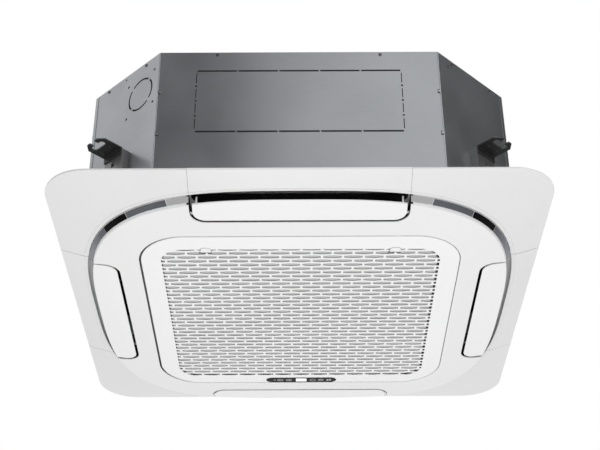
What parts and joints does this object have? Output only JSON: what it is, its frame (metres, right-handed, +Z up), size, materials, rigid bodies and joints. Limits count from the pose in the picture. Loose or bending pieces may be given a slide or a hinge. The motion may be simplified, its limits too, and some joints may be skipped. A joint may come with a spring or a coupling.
{
  "type": "ceiling cassette air conditioner",
  "caption": "Octagonal steel casing with hanger brackets above a square white panel with a hinged perforated intake grille and a swinging louver along each side.",
  "frame": {"origin": "centre of the ceiling opening, in the ceiling plane on which the panel lies", "axes": "+Z up, -Y towards the face with the rectangular knock-out, +X to the right as seen from that face"},
  "size_m": [0.95, 0.95, 0.3701],
  "materials": {
    "casing_steel": "galvanised sheet, satin",
    "bracket_steel": "dark coated steel, satin",
    "panel_white": "white moulded plastic, satin",
    "trim_bright": "bright metallised strip",
    "display_black": "black window, gloss",
    "foam": "dark closed-cell foam, matte",
    "polystyrene": "white expanded foam moulding, matte",
    "fan_plastic": "pale grey reinforced plastic, matte",
    "fins": "thin fins, satin",
    "copper": "copper tube, satin",
    "brass": "machined brass, satin",
    "motor_steel": "pressed steel can, satin",
    "black_rubber": "rubber, matte",
    "filter_mesh": "fine net on a plastic frame, matte",
    "green_board": "printed board, satin"
  },
  "bodies": {
    "unit": {"casing_wall": "casing_steel", "top_plate": "casing_steel", "foam_liner": "foam", "fan_motor": "motor_steel", "motor_bracket": "casing_steel", "bell_mouth": "panel_white", "coil_fin_pack": "fins", "coil_end_back": "copper", "coil_end_right": "copper", "gas_pipe": "copper", "liquid_pipe": "copper", "gas_flare_nut": "brass", "liquid_flare_nut": "brass", "drain_pan": "polystyrene", "drain_pump": "panel_white", "drain_hose": "black_rubber", "drain_socket": "panel_white", "float_stem": "panel_white", "control_box": "casing_steel", "control_cover": "casing_steel", "control_board": "green_board", "terminal_block": "display_black", "panel_frame": "panel_white", "centre_fascia": "panel_white", "panel_gasket": "foam", "hanger_bracket_1": "bracket_steel", "motor_bush_1": "black_rubber", "corner_cover_1": "panel_white", "corner_trim_1": "trim_bright", "hanger_bracket_2": "bracket_steel", "motor_bush_2": "black_rubber", "corner_cover_2": "panel_white", "corner_trim_2": "trim_bright", "hanger_bracket_3": "bracket_steel", "motor_bush_3": "black_rubber", "corner_cover_3": "panel_white", "corner_trim_3": "trim_bright", "hanger_bracket_4": "bracket_steel", "motor_bush_4": "black_rubber", "corner_cover_4": "panel_white", "corner_trim_4": "trim_bright", "louver_motor_front": "motor_steel", "louver_motor_right": "motor_steel", "louver_motor_back": "motor_steel", "louver_motor_left": "motor_steel"},
    "fan": {"turbo_fan": "fan_plastic", "motor_shaft": "motor_steel", "fan_nut": "brass"},
    "float": {"float_ring": "fan_plastic"},
    "grille": {"intake_grille": "panel_white", "air_filter": "filter_mesh", "display_lens": "display_black", "display_board": "green_board"},
    "latch_left": {"grille_latch_left": "panel_white"},
    "latch_right": {"grille_latch_right": "panel_white"},
    "louver_front": {"louver_front": "panel_white"},
    "louver_right": {"louver_right": "panel_white"},
    "louver_back": {"louver_back": "panel_white"},
    "louver_left": {"louver_left": "panel_white"}
  },
  "joints": [
    {"name": "louver_front_swing", "type": "hinge", "parent": "unit", "child": "louver_front", "pos_m": [0, -0.373, -0.03], "axis": [1, 0, 0], "range_deg": [-18, 32]},
    {"name": "louver_right_swing", "type": "hinge", "parent": "unit", "child": "louver_right", "pos_m": [0.373, 0, -0.03], "axis": [0, 1, 0], "range_deg": [-18, 32]},
    {"name": "louver_back_swing", "type": "hinge", "parent": "unit", "child": "louver_back", "pos_m": [0, 0.373, -0.03], "axis": [-1, 0, 0], "range_deg": [-18, 32]},
    {"name": "louver_left_swing", "type": "hinge", "parent": "unit", "child": "louver_left", "pos_m": [-0.373, 0, -0.03], "axis": [0, -1, 0], "range_deg": [-18, 32]},
    {"name": "fan_spin", "type": "hinge", "parent": "unit", "child": "fan", "pos_m": [0, 0, 0.15], "axis": [0, 0, 1], "continuous": true},
    {"name": "grille_hinge", "type": "hinge", "parent": "unit", "child": "grille", "pos_m": [0, 0.302, -0.043], "axis": [1, 0, 0], "range_deg": [0, 45]},
    {"name": "latch_left_slide", "type": "slide", "parent": "grille", "child": "latch_left", "axis": [0, 1, 0], "range_m": [0, 0.005], "stiffness_N_per_m": 300},
    {"name": "latch_right_slide", "type": "slide", "parent": "grille", "child": "latch_right", "axis": [0, 1, 0], "range_m": [0, 0.005], "stiffness_N_per_m": 300},
    {"name": "float_rise", "type": "slide", "parent": "unit", "child": "float", "axis": [0, 0, 1], "range_m": [0, 0.012]}
  ]
}
